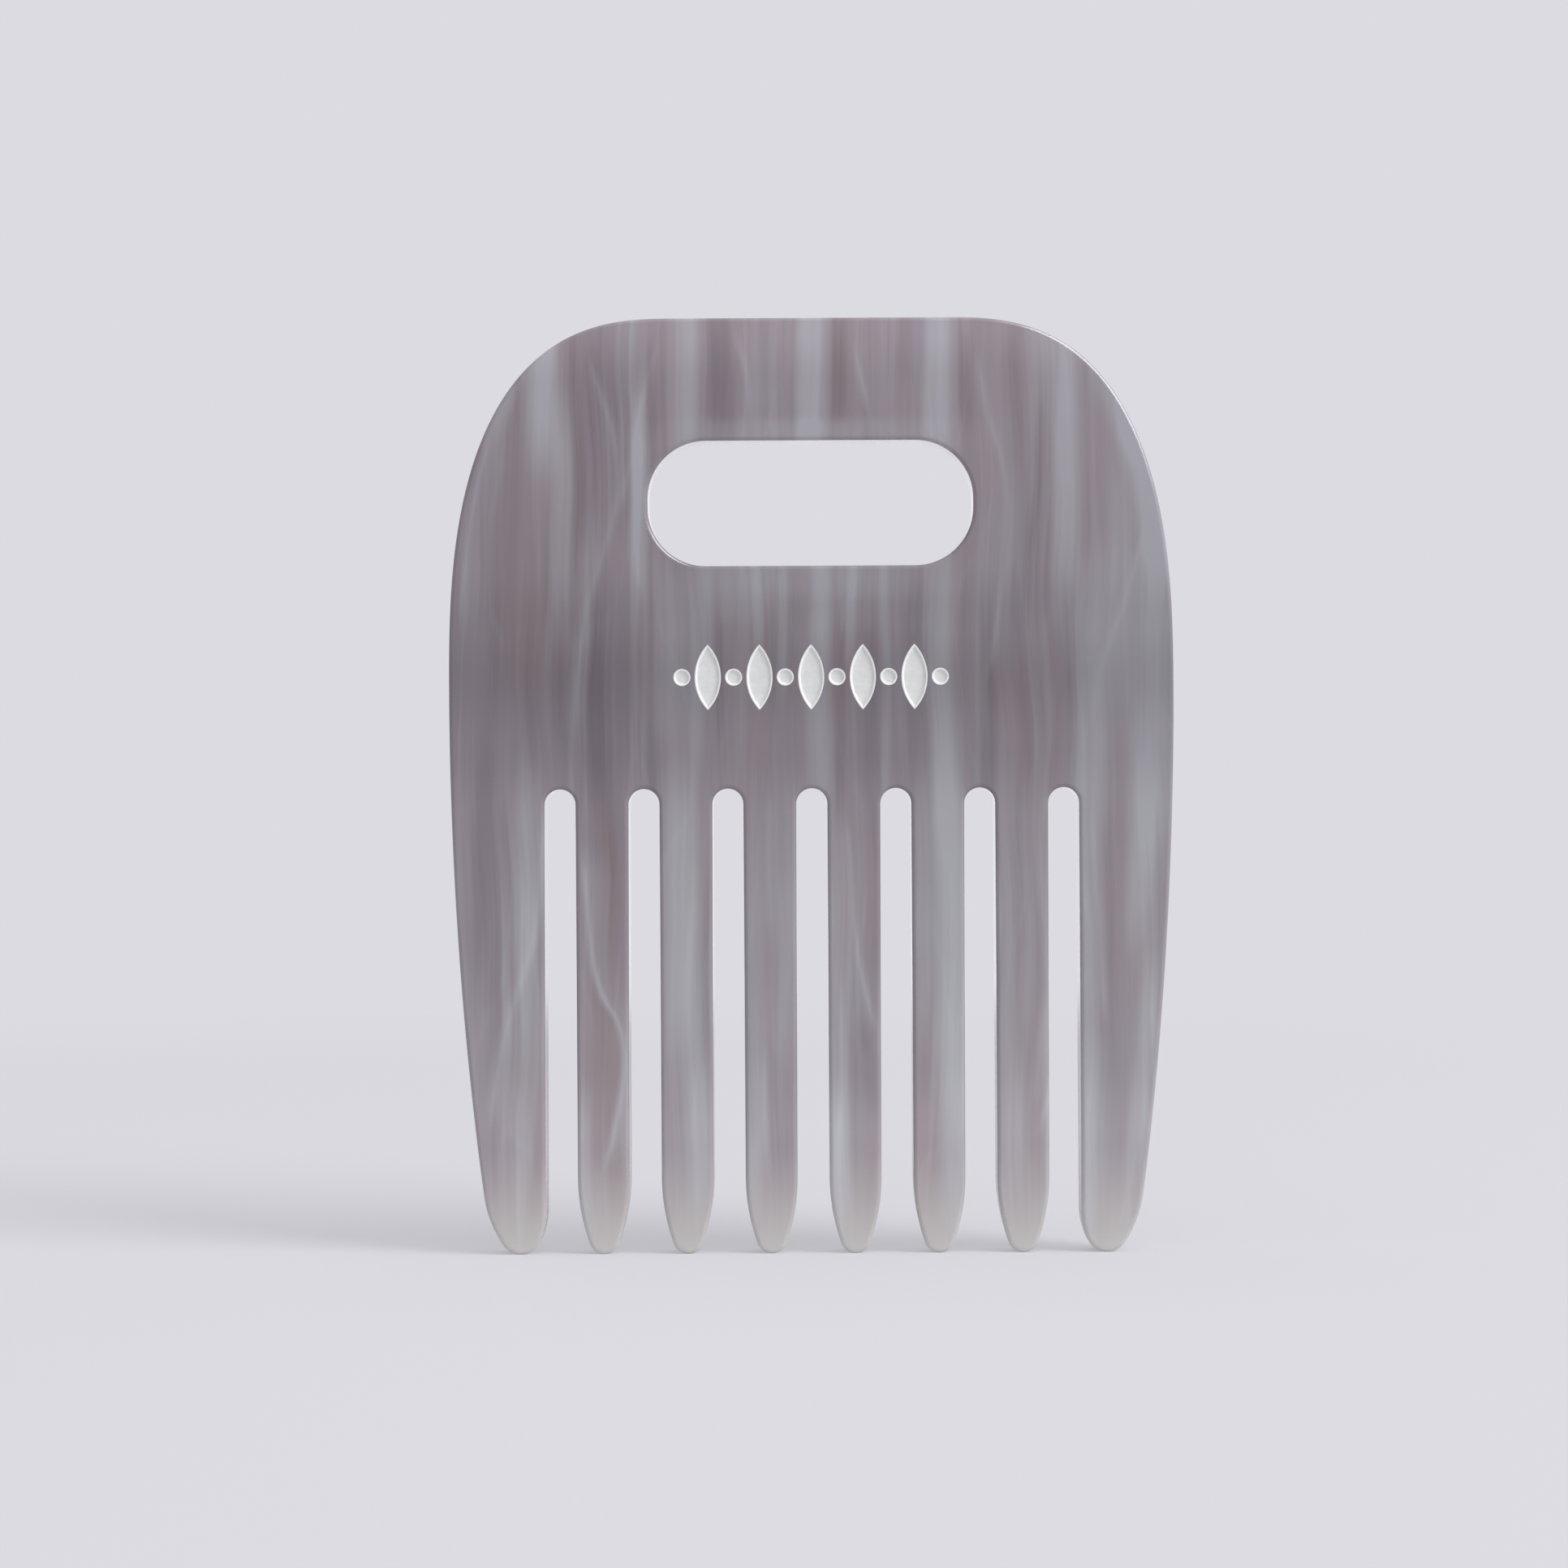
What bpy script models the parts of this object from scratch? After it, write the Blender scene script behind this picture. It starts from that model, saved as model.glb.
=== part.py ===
# Scalp massage comb cut from one sheet of marbled acetate, with enamel in its engraved band.
# Metres, +Z up. The comb stands on its tooth tips: X across, Y through the sheet, front face at -Y.
# Outlines are drawn as the comb is seen from the front, as (across, up).

import math

import bmesh
import bpy
from mathutils import Vector

mm = 0.001

# The sheet
sheet_thickness = 5.0 * mm
rim_round = 0.5 * mm  # left on every rim by tumbling

# The row of teeth, which share the width of the comb
comb_width = 80.0 * mm
tooth_count = 8
tooth_length = 51.4 * mm  # tips to the roots of the gaps
gap_width = 3.4 * mm  # at the root
gap_flare = 0.065 * mm  # lean of each side of a gap, from its root down to the flank
tip_radius = 1.7 * mm
flank_height = 8.5 * mm  # where a tooth starts to narrow

# The two outer teeth, wider because they run into the sides of the comb
outer_tip_radius = 2.35 * mm
outer_tooth_reach = 3.98 * mm  # from its centre line to the side of the comb
outer_side_flank_height = 6.5 * mm  # where it starts to narrow on its outer side
outer_gap_flank_height = 4.7 * mm  # and on its gap side

# The tips, ground thinner from both faces, with blunt ends that the comb can stand on
grind_height = 14.0 * mm
tip_thickness = 3.2 * mm

# The handle above the teeth
handle_height = 51.95 * mm  # roots of the gaps to the top edge
top_flat = 30.6 * mm  # straight run of the top edge
side_swell = 3.6 * mm  # how far the sides stand out past the outer teeth
widest_above_roots = 11.0 * mm
shoulder_power = 2.65  # 2 gives an ellipse, more is squarer

# The finger slot
slot_length = 35.9 * mm
slot_width = 13.8 * mm
slot_corner = 6.4 * mm  # a little under half the width, so the ends have a short flat
slot_land = 13.55 * mm  # sheet left above the slot

# The engraved band: pointed leaves with a round bead on each side of them
leaf_count = 5
leaf_length = 6.5 * mm
leaf_width = 2.4 * mm
bead_diameter = 1.4 * mm
motif_space = 0.95 * mm  # between a leaf and a bead
engraving_depth = 0.9 * mm
enamel_thickness = 0.4 * mm
enamel_clearance = 0.3 * mm  # under each piece of enamel and all round it

# Points on each curved stretch
shoulder_steps = 16
side_steps = 6
flank_steps = 5
tip_steps = 6
grind_steps = 7
root_steps = 12
slot_corner_steps = 9
leaf_steps = 8
bead_steps = 20
rim_steps = 2

# Sizes that follow from the ones above
half_width = comb_width / 2
outer_centre = half_width - side_swell - outer_tooth_reach
pitch = 2 * outer_centre / (tooth_count - 1)
tooth_width = pitch - gap_width
comb_height = tooth_length + handle_height
widest_height = tooth_length + widest_above_roots
root_radius = gap_width / 2
root_centre = tooth_length - root_radius
slot_bottom = comb_height - slot_land - slot_width
band_height = (tooth_length + slot_bottom) / 2
motif_step = leaf_width + bead_diameter + 2 * motif_space
front_face = -sheet_thickness / 2


def remove_old_objects():
    for old in list(bpy.data.objects):
        bpy.data.objects.remove(old)


def add_collection(name):
    collection = bpy.data.collections.new(name)
    bpy.context.scene.collection.children.link(collection)
    return collection


def add_material(name, colour, roughness):
    material = bpy.data.materials.new(name)
    material.use_nodes = True
    shader = material.node_tree.nodes["Principled BSDF"]
    shader.inputs["Base Color"].default_value = (*colour, 1)
    shader.inputs["Roughness"].default_value = roughness
    shader.inputs["Metallic"].default_value = 0
    material.diffuse_color = (*colour, 1)
    return material


def angle_of(vector):
    return math.atan2(vector.y, vector.x)


def arc(centre, radius, start, end, steps):
    """Points along an arc, from one angle to the other."""
    angles = [start + (end - start) * i / steps for i in range(steps + 1)]
    return [centre + radius * Vector((math.cos(a), math.sin(a))) for a in angles]


def placed(points, x, facing):
    """A right-hand outline set at x, or turned over into a left-hand one where facing is -1."""
    return [Vector((x + facing * p.x, p.y)) for p in points]


def shoulder():
    """Quarter of a superellipse, from the end of the top edge round to the widest point."""
    across = half_width - top_flat / 2
    up = comb_height - widest_height
    points = []
    for i in range(shoulder_steps + 1):
        turn = math.pi / 2 * i / shoulder_steps
        x = top_flat / 2 + across * math.sin(turn) ** (2 / shoulder_power)
        z = widest_height + up * math.cos(turn) ** (2 / shoulder_power)
        points.append(Vector((x, z)))
    return points


def heights(top, bottom, steps):
    """Heights down a side: even steps as far as the ground tips, then closer ones."""
    upper = [top + (grind_height - top) * i / steps for i in range(steps)]
    lower = [grind_height * (1 - i / grind_steps) for i in range(grind_steps)]
    return [z for z in upper + lower if z > bottom + rim_round] + [bottom]


def gap_side(bottom):
    """Side of a tooth on a gap, measured from the tooth's centre line, with its inward normal."""
    lean = gap_flare / (root_centre - flank_height)
    points = [Vector((tooth_width / 2 - lean * (root_centre - z), z)) for z in heights(root_centre, bottom, 1)]
    return points, Vector((-1, lean)).normalized()


def comb_side():
    """Long arc down from the widest point, measured from the outer tooth's centre line."""
    drop = widest_height - outer_side_flank_height
    radius = (drop**2 + side_swell**2) / (2 * side_swell)
    centre = Vector((outer_tooth_reach + side_swell - radius, widest_height))
    points = []
    for z in heights(widest_height, outer_side_flank_height, side_steps):
        points.append(Vector((centre.x + math.sqrt(radius**2 - (widest_height - z) ** 2), z)))
    return points, (centre - points[-1]).normalized()


def half_tooth(side, inward, radius):
    """Down one side of a tooth, in along its flank and round to the lowest point of its tip.

    The flank is the one arc that leaves the side smoothly and meets the tip's circle smoothly.
    """
    radius = min(radius, 0.9 * side[-1].x)
    tip_centre = Vector((0, radius))
    away = side[-1] - tip_centre
    flank_radius = (radius**2 - away.length_squared) / (2 * (away.dot(inward) + radius))
    flank_centre = side[-1] + inward * flank_radius
    start = angle_of(-inward)
    meet = angle_of(tip_centre - flank_centre)
    flank = arc(flank_centre, flank_radius, start, meet, flank_steps)
    tip = arc(tip_centre, radius, meet, -math.pi / 2, tip_steps)
    return side[:-1] + flank[:-1] + tip


def comb_outline():
    """Clockwise from the right end of the top edge: right side, each tooth and gap, left side."""
    inner = half_tooth(*gap_side(flank_height), tip_radius)
    outer_gap_half = half_tooth(*gap_side(outer_gap_flank_height), outer_tip_radius)
    outer_side_half = half_tooth(*comb_side(), outer_tip_radius)
    right_halves = [outer_side_half] + [inner] * (tooth_count - 2) + [outer_gap_half]
    left_halves = right_halves[::-1]

    corner = shoulder()[:-1]
    outline = list(corner)
    for index in range(tooth_count):
        x = outer_centre - index * pitch
        outline += placed(right_halves[index], x, 1)
        outline += placed(left_halves[index], x, -1)[-2::-1]
        if index < tooth_count - 1:
            gap_centre = Vector((x - pitch / 2, root_centre))
            outline += arc(gap_centre, root_radius, 0, math.pi, root_steps)[1:-1]
    return outline + placed(corner, 0, -1)[::-1]


def slot_outline():
    """Slot drawn about its own centre, counterclockwise from its lower right corner.

    A corner stays a hair under half the slot, so that it never meets the one opposite.
    """
    radius = min(slot_corner, 0.49 * slot_width, 0.49 * slot_length)
    across = slot_length / 2 - radius
    up = slot_width / 2 - radius
    outline = []
    for index, (x, z) in enumerate([(across, -up), (across, up), (-across, up), (-across, -up)]):
        start = math.pi / 2 * (index - 1)
        outline += arc(Vector((x, z)), radius, start, start + math.pi / 2, slot_corner_steps)
    return outline


def leaf_outline(margin):
    """Two equal arcs that meet in a point above and below, drawn out evenly by the margin."""
    side_radius = (leaf_length**2 + leaf_width**2) / (4 * leaf_width) + margin
    offset = side_radius - leaf_width / 2 - margin
    spread = math.acos(offset / side_radius)
    right = arc(Vector((-offset, 0)), side_radius, -spread, spread, leaf_steps)
    return right[:-1] + placed(right, 0, -1)[::-1][:-1]


def bead_outline(margin):
    points = arc(Vector((0, 0)), bead_diameter / 2 + margin, 0, 2 * math.pi, bead_steps)
    return points[:-1]


def plate_mesh(name, outlines, thickness, rounding=0):
    """Upright plate from flat outlines, the later ones holes in the first, its rims rounded."""
    curve = bpy.data.curves.new(name, "CURVE")
    curve.dimensions = "2D"
    curve.fill_mode = "BOTH"
    curve.extrude = thickness / 2 - rounding
    curve.bevel_depth = rounding
    curve.bevel_resolution = rim_steps
    curve.offset = -rounding
    for outline in outlines:
        spline = curve.splines.new("POLY")
        spline.points.add(len(outline) - 1)
        for point, place in zip(spline.points, outline):
            point.co = (place.x, place.y, 0, 1)
        spline.use_cyclic_u = True

    drawn = bpy.data.objects.new(name + "_outline", curve)
    bpy.context.scene.collection.objects.link(drawn)
    evaluated = drawn.evaluated_get(bpy.context.evaluated_depsgraph_get())
    mesh = bpy.data.meshes.new_from_object(evaluated)
    mesh.name = name
    bpy.data.objects.remove(drawn)

    sides = bmesh.new()
    sides.from_mesh(mesh)
    bmesh.ops.remove_doubles(sides, verts=sides.verts, dist=rim_round / 1000)
    bmesh.ops.recalc_face_normals(sides, faces=sides.faces)
    sides.to_mesh(mesh)
    sides.free()
    mesh.shade_smooth()
    mesh.set_sharp_from_angle(angle=math.radians(35))
    return mesh


def add_piece(name, mesh, place, collection, material=None):
    """Stands a plate's mesh upright, its drawn face to the front."""
    piece = bpy.data.objects.new(name, mesh)
    piece.location = place
    piece.rotation_euler.x = math.pi / 2
    if material and not mesh.materials:
        mesh.materials.append(material)
    collection.objects.link(piece)
    return piece


def ground_share(height):
    """Share of the full thickness left at a height, where an arc runs from each face in to the tip."""
    thinned = (sheet_thickness - tip_thickness) / 2
    if height >= grind_height or thinned <= 0:
        return 1
    radius = (grind_height**2 + thinned**2) / (2 * thinned)
    depth = radius - math.sqrt(radius**2 - (grind_height - height) ** 2)
    return 1 - 2 * depth / sheet_thickness


def add_comb_plate(parts, cutters, acetate):
    slot_middle = slot_bottom + slot_width / 2
    slot = [point + Vector((0, slot_middle)) for point in slot_outline()]
    mesh = plate_mesh("comb_plate", [comb_outline(), slot], sheet_thickness, rim_round)
    for vertex in mesh.vertices:
        vertex.co.z *= ground_share(vertex.co.y)

    plate = add_piece("comb_plate", mesh, (0, 0, 0), parts, acetate)
    engraving = plate.modifiers.new("engraving", "BOOLEAN")
    engraving.operation = "DIFFERENCE"
    engraving.solver = "EXACT"
    engraving.operand_type = "COLLECTION"
    engraving.collection = cutters
    return plate


def motif_places():
    """Each motif of the band from left to right, as (kind, number, across)."""
    places = []
    for index in range(2 * leaf_count + 1):
        kind = "leaf" if index % 2 else "bead"
        across = (index - leaf_count) * motif_step / 2
        places.append((kind, index // 2 + 1, across))
    return places


def add_band(parts, cutters, enamel):
    """The engraved band: a pocket in the front face for each motif, and the enamel that lies in it."""
    outlines = {"leaf": leaf_outline, "bead": bead_outline}
    pocket_back = front_face + engraving_depth
    cutter_thickness = 2 * engraving_depth
    enamel_middle = pocket_back - enamel_clearance - enamel_thickness / 2
    pockets = {}
    fills = {}
    for kind, outline in outlines.items():
        pockets[kind] = plate_mesh(kind + "_pocket", [outline(enamel_clearance)], cutter_thickness)
        fills[kind] = plate_mesh(kind + "_enamel", [outline(0)], enamel_thickness)

    for kind, number, across in motif_places():
        cutter_place = (across, pocket_back - cutter_thickness / 2, band_height)
        cutter = add_piece(f"{kind}_cutter_{number}", pockets[kind], cutter_place, cutters)
        cutter.hide_render = True
        cutter.display_type = "WIRE"
        add_piece(f"enamel_{kind}_{number}", fills[kind], (across, enamel_middle, band_height), parts, enamel)


def build_comb():
    remove_old_objects()
    parts = add_collection("scalp massage comb")
    cutters = add_collection("cutters")
    acetate = add_material("marbled acetate", (0.255, 0.225, 0.252), 0.2)
    enamel = add_material("white enamel", (0.82, 0.82, 0.8), 0.35)

    add_band(parts, cutters, enamel)
    add_comb_plate(parts, cutters, acetate)

    comb = bpy.data.objects.new("comb", None)
    parts.objects.link(comb)
    for piece in parts.objects:
        if piece.type == "MESH":
            piece.parent = comb


build_comb()
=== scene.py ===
import math

import bmesh
import bpy
from mathutils import Matrix, Vector


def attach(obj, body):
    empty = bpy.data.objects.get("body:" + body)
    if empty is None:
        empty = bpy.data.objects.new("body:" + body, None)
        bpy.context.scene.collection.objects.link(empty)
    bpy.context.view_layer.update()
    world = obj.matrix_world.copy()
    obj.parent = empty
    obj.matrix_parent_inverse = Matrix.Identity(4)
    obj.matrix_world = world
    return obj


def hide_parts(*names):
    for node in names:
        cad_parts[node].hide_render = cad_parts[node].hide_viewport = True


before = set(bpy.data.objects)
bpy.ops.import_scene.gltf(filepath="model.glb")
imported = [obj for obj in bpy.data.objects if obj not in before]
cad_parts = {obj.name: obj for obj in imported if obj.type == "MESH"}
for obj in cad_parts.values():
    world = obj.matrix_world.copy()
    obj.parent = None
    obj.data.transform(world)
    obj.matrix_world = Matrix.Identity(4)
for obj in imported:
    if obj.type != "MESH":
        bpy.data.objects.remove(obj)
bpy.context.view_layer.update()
scene = bpy.context.scene

metre = 1000.0  # pieces are drawn in millimetres and finished in metres


plate = {  # millimetres
    "width": 80.0, "height": 103.35, "thickness": 5.0,
    "rimRound": 0.5, "rimSteps": 6,  # tumbled rims
    "topFlat": 30.6, "shoulderPower": 2.65, "shoulderSteps": 56,
    "widestHeight": 62.4, "sideSwell": 3.6, "sideSteps": 30,  # the sides come in by the swell
    "teeth": 8, "toothLength": 51.4,
    "gapWidth": 3.4, "gapFlare": 0.065, "rootSteps": 14,  # each side of a gap opens by the flare
    "tipRadius": 1.7, "tipSteps": 12,
    "flankHeight": 8.5, "flankSteps": 14,  # where a tooth's sides start to turn in
    "outerTipRadius": 2.35, "outerReach": 3.98, "outerSideFlank": 6.5, "outerGapFlank": 4.7,
    "tipThickness": 3.2, "grindHeight": 14.0, "grindCuts": 14,  # tips ground thinner from both faces
    "slotLength": 35.9, "slotWidth": 13.8, "slotBottom": 76.0, "slotCorner": 6.4, "cornerSteps": 20,
    "middleWeld": 0.0005, "cutWeld": 0.0001, "sharpAngle": 50,
}

band = {  # leaves and beads in turn across the front, in millimetres
    "height": 63.7, "leaves": 5, "step": 5.7,  # the step is from leaf to leaf
    "leafLength": 6.5, "leafWidth": 2.4, "leafSteps": 18, "leafWeld": 0.001,
    "beadSize": 1.4, "beadSteps": 40,
    "margin": 0.3, "depth": 0.9, "lipRound": 0.08, "lipSteps": 2,  # pockets, and their margin all round
    "fillClear": 0.05, "fillSunk": 0.05, "fillThick": 0.7,  # clear of the walls, and sunk under the face
    "fillLip": 0.14, "fillSlope": 0.17, "fillDish": 0.21, "dishSteps": 6,  # flat lip, then a slope
    "sharpAngle": 60,
}

facingFront = Matrix.Rotation(math.pi / 2, 4, "X")


def strokeTo(bm, last, x, z):  # a straight line on from the last point
    new = bmesh.ops.extrude_vert_indiv(bm, verts=[last])["verts"][0]
    new.co = Vector((x, 0, z))
    return new


def swing(bm, last, centre, turn, steps):  # an arc, clockwise as the front is seen
    pivot = (centre.x, 0, centre.y)
    made = bmesh.ops.spin(bm, geom=[last], cent=pivot, axis=(0, 1, 0), angle=turn, steps=steps)
    return [item for item in made["geom_last"] if isinstance(item, bmesh.types.BMVert)][0]


def flankArc(sideEnd, inward, tipRadius):  # the one arc that leaves the side and meets the tip smoothly
    away = sideEnd - Vector((0, tipRadius))
    radius = (tipRadius**2 - away.length_squared) / (2 * (away.dot(inward) + tipRadius))
    centre = sideEnd + inward * radius
    start = math.atan2(-inward.y, -inward.x)
    meet = math.atan2(tipRadius - centre.y, -centre.x)
    return centre, start - meet, meet + math.pi / 2


def downTooth(bm, last, x, side, tipRadius):
    centre, flankTurn, tipTurn = flankArc(*side, tipRadius)
    last = swing(bm, last, Vector((x + centre.x, centre.y)), flankTurn, plate["flankSteps"])
    return swing(bm, last, Vector((x, tipRadius)), tipTurn, plate["tipSteps"])


def upTooth(bm, last, x, side, tipRadius):
    centre, flankTurn, tipTurn = flankArc(*side, tipRadius)
    last = swing(bm, last, Vector((x, tipRadius)), tipTurn, plate["tipSteps"])
    return swing(bm, last, Vector((x - centre.x, centre.y)), flankTurn, plate["flankSteps"])


def traceOutline(bm):  # right half, clockwise from the middle of the top edge to the root of the middle gap
    halfWidth = plate["width"] / 2
    outerX = halfWidth - plate["sideSwell"] - plate["outerReach"]
    pitch = 2 * outerX / (plate["teeth"] - 1)
    rootRadius = plate["gapWidth"] / 2
    rootHeight = plate["toothLength"] - rootRadius
    toothHalf = (pitch - plate["gapWidth"]) / 2
    lean = plate["gapFlare"] / (rootHeight - plate["flankHeight"])
    leanInward = Vector((-1, lean)).normalized()

    last = bm.verts.new((0, 0, plate["height"]))
    across = halfWidth - plate["topFlat"] / 2
    up = plate["height"] - plate["widestHeight"]
    for i in range(plate["shoulderSteps"] + 1):
        turn = math.pi / 2 * i / plate["shoulderSteps"]
        x = plate["topFlat"] / 2 + across * math.sin(turn) ** (2 / plate["shoulderPower"])
        z = plate["widestHeight"] + up * math.cos(turn) ** (2 / plate["shoulderPower"])
        last = strokeTo(bm, last, x, z)

    drop = plate["widestHeight"] - plate["outerSideFlank"]
    sideRadius = (drop**2 + plate["sideSwell"] ** 2) / (2 * plate["sideSwell"])
    sideCentre = Vector((halfWidth - sideRadius, plate["widestHeight"]))
    last = swing(bm, last, sideCentre, math.asin(drop / sideRadius), plate["sideSteps"])
    sideEnd = Vector((last.co.x, last.co.z))
    outerSide = (sideEnd - Vector((outerX, 0)), (sideCentre - sideEnd).normalized())
    last = downTooth(bm, last, outerX, outerSide, plate["outerTipRadius"])

    for index in range(plate["teeth"] // 2):
        x = outerX - index * pitch
        flankHeight = plate["flankHeight"] if index else plate["outerGapFlank"]
        tipRadius = plate["tipRadius"] if index else plate["outerTipRadius"]
        flankX = toothHalf - lean * (rootHeight - flankHeight)
        side = (Vector((flankX, flankHeight)), leanInward)
        if index:
            last = strokeTo(bm, last, x + flankX, flankHeight)
            last = downTooth(bm, last, x, side, tipRadius)
        last = upTooth(bm, last, x, side, tipRadius)
        last = strokeTo(bm, last, x - toothHalf, rootHeight)
        isMiddle = index == plate["teeth"] // 2 - 1
        turn = math.pi / 2 if isMiddle else math.pi
        last = swing(bm, last, Vector((x - pitch / 2, rootHeight)), -turn, plate["rootSteps"])
    last.co.x = 0


def traceSlot(bm):  # right half, from the middle of its lower edge up to the middle of its upper edge
    radius = plate["slotCorner"]
    across = plate["slotLength"] / 2 - radius
    top = plate["slotBottom"] + plate["slotWidth"]
    last = bm.verts.new((0, 0, plate["slotBottom"]))
    last = strokeTo(bm, last, across, plate["slotBottom"])
    last = swing(bm, last, Vector((across, plate["slotBottom"] + radius)), -math.pi / 2, plate["cornerSteps"])
    last = strokeTo(bm, last, across + radius, top - radius)
    last = swing(bm, last, Vector((across, top - radius)), -math.pi / 2, plate["cornerSteps"])
    strokeTo(bm, last, 0, top)


def traceLeaf(bm, x, margin):  # two arcs that meet in a point above and below
    radius = (band["leafLength"] ** 2 + band["leafWidth"] ** 2) / (4 * band["leafWidth"]) + margin
    offset = radius - band["leafWidth"] / 2 - margin
    spread = math.acos(offset / radius)
    reach = radius * math.sin(spread)
    before = set(bm.edges)
    last = bm.verts.new((x, 0, band["height"] - reach))
    for facing in (-1, 1):
        last = swing(bm, last, Vector((x + facing * offset, band["height"])), -2 * spread, band["leafSteps"])
    new = [edge for edge in bm.edges if edge not in before]
    bmesh.ops.remove_doubles(bm, verts=list({v for edge in new for v in edge.verts}), dist=band["leafWeld"])
    return [edge for edge in bm.edges if edge not in before]


def traceBead(bm, x, margin):
    before = set(bm.edges)
    radius = band["beadSize"] / 2 + margin
    place = Matrix.Translation((x, 0, band["height"])) @ facingFront
    bmesh.ops.create_circle(bm, radius=radius, segments=band["beadSteps"], matrix=place)
    return [edge for edge in bm.edges if edge not in before]


def motifs():  # beads and leaves in turn, from left to right
    for index in range(2 * band["leaves"] + 1):
        trace, kind = (traceLeaf, "leaf") if index % 2 else (traceBead, "bead")
        yield trace, kind, index // 2 + 1, (index - band["leaves"]) * band["step"] / 2


def faceFront(bm):
    for face in bm.faces:
        face.normal_update()
        if face.normal.y > 0:
            face.normal_flip()


def insetTo(bm, faces, steps):  # each step is (in from the edge, out along the normal)
    for inward, outward in steps:
        bmesh.ops.inset_region(
            bm, faces=faces, thickness=inward, depth=outward, use_boundary=True, use_even_offset=True
        )


def quarterTurns(steps):  # a quarter turn in equal parts, each as (from, to)
    turns = [math.pi / 2 * i / steps for i in range(steps + 1)]
    return list(zip(turns, turns[1:]))


def quarterRound(radius, steps, facing=1):  # inset steps that round a rim, or with -1 the lip of a pocket
    return [
        (radius * (math.cos(a) - math.cos(b)), facing * radius * (math.sin(b) - math.sin(a)))
        for a, b in quarterTurns(steps)
    ]


def groundShare(height):  # share of the thickness left where the tips are ground from both faces
    if height >= plate["grindHeight"]:
        return 1
    thinned = (plate["thickness"] - plate["tipThickness"]) / 2
    radius = (plate["grindHeight"] ** 2 + thinned**2) / (2 * thinned)
    depth = radius - math.sqrt(radius**2 - (plate["grindHeight"] - height) ** 2)
    return 1 - 2 * depth / plate["thickness"]


def finishPiece(bm, name, node, material, sharpAngle):
    bmesh.ops.scale(bm, vec=(1 / metre, 1 / metre, 1 / metre), verts=bm.verts)
    mesh = bpy.data.meshes.new(name)
    bm.to_mesh(mesh)
    bm.free()
    mesh.shade_smooth()
    mesh.set_sharp_from_angle(angle=math.radians(sharpAngle))
    mesh.materials.append(material)
    piece = bpy.data.objects.new(name, mesh)
    scene.collection.objects.link(piece)
    evenNormals = piece.modifiers.new("evenNormals", "WEIGHTED_NORMAL")
    evenNormals.mode = "FACE_AREA"
    evenNormals.keep_sharp = True
    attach(piece, "root")
    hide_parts(node)
    return piece


def makePlate(material):
    bm = bmesh.new()
    traceOutline(bm)
    traceSlot(bm)
    bmesh.ops.mirror(bm, geom=bm.verts[:] + bm.edges[:], axis="X", merge_dist=plate["middleWeld"])
    pockets = [trace(bm, x, band["margin"]) for trace, kind, number, x in motifs()]
    bmesh.ops.triangle_fill(bm, use_beauty=True, edges=bm.edges[:])
    for edges in pockets:
        for face in bmesh.ops.edgeloop_fill(bm, edges=edges)["faces"]:
            face.material_index = 1  # marks a pocket until it is sunk
    faceFront(bm)

    straight = plate["thickness"] / 2 - plate["rimRound"]
    front = bm.faces[:]
    back = bmesh.ops.extrude_face_region(bm, geom=front, use_keep_orig=True)["geom"]
    back = [item for item in back if isinstance(item, bmesh.types.BMFace)]
    bmesh.ops.translate(bm, vec=(0, -straight, 0), verts=list({v for face in front for v in face.verts}))
    bmesh.ops.translate(bm, vec=(0, straight, 0), verts=list({v for face in back for v in face.verts}))
    bmesh.ops.recalc_face_normals(bm, faces=bm.faces)
    rim = quarterRound(plate["rimRound"], plate["rimSteps"])
    insetTo(bm, front, rim)
    insetTo(bm, back, rim)

    pocketFaces = [face for face in front if face.material_index == 1]
    lip = quarterRound(band["lipRound"], band["lipSteps"], -1)
    insetTo(bm, pocketFaces, lip + [(0, -(band["depth"] - band["lipRound"]))])
    for face in bm.faces:
        face.material_index = 0

    for cut in range(1, plate["grindCuts"] + 1):  # rings of edges for the ground tips to follow
        height = plate["grindHeight"] * cut / plate["grindCuts"]
        bmesh.ops.bisect_plane(
            bm, geom=bm.verts[:] + bm.edges[:] + bm.faces[:], dist=plate["cutWeld"],
            plane_co=(0, 0, height), plane_no=(0, 0, 1),
        )
    for vert in bm.verts:
        vert.co.y *= groundShare(vert.co.z)
    bmesh.ops.triangulate(bm, faces=bm.faces)
    return finishPiece(bm, "acetateSheet", "comb_plate", material, plate["sharpAngle"])


def makeFill(trace, kind, number, x, material):  # enamel dished between the walls of its pocket
    bm = bmesh.new()
    bmesh.ops.edgeloop_fill(bm, edges=trace(bm, x, band["margin"] - band["fillClear"]))
    faceFront(bm)
    top = bm.faces[:]
    sides = bmesh.ops.extrude_face_region(bm, geom=top, use_keep_orig=True)["geom"]
    lower = [item for item in sides if isinstance(item, bmesh.types.BMVert)]
    bmesh.ops.translate(bm, vec=(0, band["fillThick"], 0), verts=lower)
    bmesh.ops.recalc_face_normals(bm, faces=bm.faces)
    bmesh.ops.translate(bm, vec=(0, -plate["thickness"] / 2 + band["fillSunk"], 0), verts=bm.verts)
    slope = [
        (band["fillSlope"] / band["dishSteps"], -band["fillDish"] * (math.sin(b) - math.sin(a)))
        for a, b in quarterTurns(band["dishSteps"])
    ]
    insetTo(bm, top, [(band["fillLip"], 0)] + slope)
    bmesh.ops.triangulate(bm, faces=bm.faces)
    name, node = kind + "Fill" + str(number), f"enamel_{kind}_{number}"
    return finishPiece(bm, name, node, material, band["sharpAngle"])


def plug(tree, value, socket):
    if isinstance(value, bpy.types.NodeSocket):
        tree.links.new(value, socket)
    else:
        socket.default_value = value


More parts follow.
